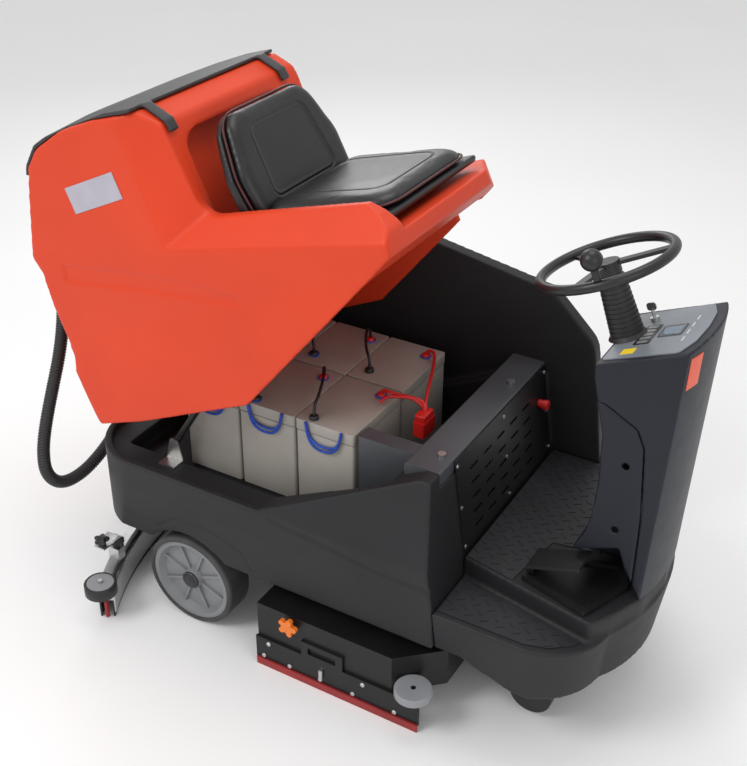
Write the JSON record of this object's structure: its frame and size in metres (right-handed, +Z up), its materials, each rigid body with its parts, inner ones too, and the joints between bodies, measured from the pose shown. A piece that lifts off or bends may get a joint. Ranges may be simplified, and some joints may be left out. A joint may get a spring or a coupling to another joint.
{
  "type": "ride-on floor scrubber",
  "caption": "Ride-on floor scrubber with a hinged recovery tank tilted open over its batteries, a seat, steering column, brush deck and rear squeegee.",
  "frame": {"origin": "middle of the machine's footprint at floor level, without the free suction hose", "axes": "+X to the machine's front, +Y to the operator's left, +Z up"},
  "size_m": [1.8918, 1.164, 1.5368],
  "materials": {
    "body_moulding": "rotationally moulded, fine grain",
    "base_plate": "satin black paint",
    "tank_moulding": "satin rotationally moulded orange-red",
    "lid_moulding": "satin",
    "console_moulding": "satin",
    "panel_grey": "smooth film",
    "mat_rubber": "ribbed",
    "black_rubber": "matt",
    "tyre_rubber": "matt",
    "hub_grey": "satin",
    "roller_grey": "satin",
    "battery_case": "satin",
    "terminal_red": "satin",
    "cable_black": "satin",
    "rope_blue": "braided",
    "connector_red": "satin",
    "grey_paint": "satin",
    "black_paint": "satin",
    "zinc_steel": "zinc plated",
    "stainless": "brushed",
    "alloy": "cast",
    "chrome_rod": "polished",
    "seat_vinyl": "grained vinyl",
    "seat_plastic": "satin",
    "blade_red": "matt",
    "orange_plastic": "satin",
    "black_plastic": "satin",
    "bristle_blue": "bristle",
    "pump_black": "satin"
  },
  "bodies": {
    "base": {"lower_body": "body_moulding", "front_base": "body_moulding", "platform_mat": "mat_rubber", "step_mat": "mat_rubber", "console_shell": "console_moulding", "console_rear_cover": "console_moulding", "control_panel": "panel_grey", "steering_boot": "black_rubber", "chassis_frame": "black_paint", "batteries_right_row": "battery_case", "batteries_left_row": "battery_case", "terminal_caps": "terminal_red", "jumper_cables": "cable_black", "rope_handles": "rope_blue", "battery_connector": "connector_red", "crossbeam": "grey_paint", "louvre_panel": "black_paint", "body_fasteners": "zinc_steel", "motor_controller": "alloy", "solution_pump": "pump_black", "strut_foot": "zinc_steel", "pedal_housing": "black_paint", "deck_actuator": "zinc_steel", "suction_hose": "black_rubber"},
    "tank": {"recovery_tank": "tank_moulding", "tank_hinge_arms": "black_paint", "strut_head": "zinc_steel", "vacuum_motor": "black_plastic", "seat_rail": "zinc_steel"},
    "lid": {"tank_lid": "lid_moulding"},
    "seat": {"seat_shell": "seat_plastic", "seat_back_pad": "seat_vinyl", "seat_cushion": "seat_vinyl"},
    "strut_cylinder": {"strut_cylinder": "black_paint"},
    "strut_rod": {"strut_rod": "chrome_rod"},
    "steering_wheel": {"steering_wheel": "black_plastic"},
    "spinner_knob": {"spinner_knob": "black_plastic"},
    "drive_fork": {"drive_fork": "black_paint"},
    "drive_wheel": {"drive_wheel": "tyre_rubber"},
    "rear_wheel_right": {"rear_tyre_right": "tyre_rubber", "rear_hub_right": "hub_grey"},
    "rear_wheel_left": {"rear_tyre_left": "tyre_rubber", "rear_hub_left": "hub_grey"},
    "deck": {"brush_deck": "black_paint", "deck_blades": "blade_red"},
    "brush_right": {"brush_right": "bristle_blue"},
    "brush_left": {"brush_left": "bristle_blue"},
    "deck_roller_right": {"deck_roller_right": "roller_grey"},
    "deck_roller_left": {"deck_roller_left": "roller_grey"},
    "deck_knob": {"deck_knob": "orange_plastic"},
    "squeegee": {"squeegee_body": "stainless", "squeegee_blades": "black_rubber", "squeegee_arm": "black_paint"},
    "squeegee_roller_right": {"squeegee_roller_right": "roller_grey"},
    "squeegee_roller_left": {"squeegee_roller_left": "roller_grey"},
    "squeegee_knob": {"squeegee_knob": "black_plastic"},
    "accelerator_pedal": {"accelerator_pedal": "black_plastic"},
    "key": {"key": "zinc_steel"},
    "stop_knob": {"stop_knob": "connector_red"},
    "anti_tip_rollers": {"anti_tip_rollers": "black_rubber"}
  },
  "joints": [
    {"name": "tank_hinge", "type": "hinge", "parent": "base", "child": "tank", "pos_m": [-0.79403, 0, 0.555], "axis": [0, -1, 0], "range_deg": [-25, 0], "deforming": ["suction_hose"]},
    {"name": "lid_hinge", "type": "hinge", "parent": "tank", "child": "lid", "pos_m": [-0.91609, 0, 1.27817], "axis": [0, -1, 0], "range_deg": [0, 100]},
    {"name": "seat_slide", "type": "slide", "parent": "tank", "child": "seat", "axis": [0.9316, 0, 0.3636], "range_m": [-0.05, 0.07]},
    {"name": "strut_swing", "type": "hinge", "parent": "base", "child": "strut_cylinder", "pos_m": [-0.48903, -0.285, 0.545], "axis": [0, -1, 0], "range_deg": [-49.6, 0]},
    {"name": "strut_extend", "type": "slide", "parent": "strut_cylinder", "child": "strut_rod", "axis": [0.5408, 0, 0.8412], "range_m": [-0.08, 0]},
    {"name": "fork_steer", "type": "hinge", "parent": "base", "child": "drive_fork", "pos_m": [0.63097, 0, 0.2], "axis": [0, 0, 1], "range_deg": [-60, 60]},
    {"name": "steering_turn", "type": "hinge", "parent": "base", "child": "steering_wheel", "pos_m": [0.63797, 0, 1.271], "axis": [-0.3795, 0, 0.9252], "range_deg": [-361, 361]},
    {"name": "spinner_turn", "type": "hinge", "parent": "steering_wheel", "child": "spinner_knob", "pos_m": [0.67676, -0.15648, 1.28691], "axis": [-0.3795, 0, 0.9252], "continuous": true},
    {"name": "drive_wheel_roll", "type": "hinge", "parent": "drive_fork", "child": "drive_wheel", "pos_m": [0.63097, 0, 0.125], "axis": [0, 1, 0], "continuous": true},
    {"name": "rear_wheel_right_roll", "type": "hinge", "parent": "base", "child": "rear_wheel_right", "pos_m": [-0.38903, -0.3525, 0.15], "axis": [0, 1, 0], "continuous": true},
    {"name": "rear_wheel_left_roll", "type": "hinge", "parent": "base", "child": "rear_wheel_left", "pos_m": [-0.38903, 0.3525, 0.15], "axis": [0, 1, 0], "continuous": true},
    {"name": "deck_lift", "type": "slide", "parent": "base", "child": "deck", "axis": [0, 0, 1], "range_m": [0, 0.04]},
    {"name": "brush_right_spin", "type": "hinge", "parent": "deck", "child": "brush_right", "pos_m": [0.15597, -0.215, 0.1], "axis": [0, 0, 1], "continuous": true},
    {"name": "brush_left_spin", "type": "hinge", "parent": "deck", "child": "brush_left", "pos_m": [0.15597, 0.215, 0.1], "axis": [0, 0, 1], "continuous": true},
    {"name": "deck_roller_right_roll", "type": "hinge", "parent": "deck", "child": "deck_roller_right", "pos_m": [0.38497, -0.44, 0.136], "axis": [0, 0, 1], "continuous": true},
    {"name": "deck_roller_left_roll", "type": "hinge", "parent": "deck", "child": "deck_roller_left", "pos_m": [0.38497, 0.44, 0.136], "axis": [0, 0, 1], "continuous": true},
    {"name": "deck_knob_turn", "type": "hinge", "parent": "deck", "child": "deck_knob", "pos_m": [-0.00403, -0.448, 0.19], "axis": [0, -1, 0], "range_deg": [-180, 180]},
    {"name": "squeegee_lift", "type": "hinge", "parent": "base", "child": "squeegee", "pos_m": [-0.46903, 0, 0.245], "axis": [0, -1, 0], "range_deg": [-12, 0]},
    {"name": "squeegee_roller_right_roll", "type": "hinge", "parent": "squeegee", "child": "squeegee_roller_right", "pos_m": [-0.61903, -0.534, 0.12], "axis": [0, 0, 1], "continuous": true},
    {"name": "squeegee_roller_left_roll", "type": "hinge", "parent": "squeegee", "child": "squeegee_roller_left", "pos_m": [-0.61903, 0.534, 0.12], "axis": [0, 0, 1], "continuous": true},
    {"name": "squeegee_knob_turn", "type": "hinge", "parent": "squeegee", "child": "squeegee_knob", "pos_m": [-0.66903, -0.395, 0.17], "axis": [0, 0, 1], "range_deg": [-180, 180]},
    {"name": "pedal_press", "type": "hinge", "parent": "base", "child": "accelerator_pedal", "pos_m": [0.59097, -0.18, 0.478], "axis": [0, 1, 0], "range_deg": [0, 15], "stiffness_Nm_per_rad": 6, "springref_deg": -11.46},
    {"name": "key_turn", "type": "hinge", "parent": "base", "child": "key", "pos_m": [0.75046, 0.078, 1.10923], "axis": [-0.389, 0, 0.9212], "range_deg": [0, 90]},
    {"name": "stop_press", "type": "slide", "parent": "base", "child": "stop_knob", "axis": [1, 0, 0], "range_m": [-0.006, 0], "stiffness_N_per_m": 1500, "springref_m": 0.002},
    {"name": "anti_tip_roll", "type": "hinge", "parent": "base", "child": "anti_tip_rollers", "pos_m": [0.63597, 0, 0.078], "axis": [0, 1, 0], "continuous": true}
  ],
  "couplings": [
    {"joint": "strut_swing", "follows": "tank_hinge", "ratio": 1.9607},
    {"joint": "strut_extend", "follows": "tank_hinge", "m_per_rad": 0.17591},
    {"joint": "steering_turn", "follows": "fork_steer", "ratio": 6}
  ]
}
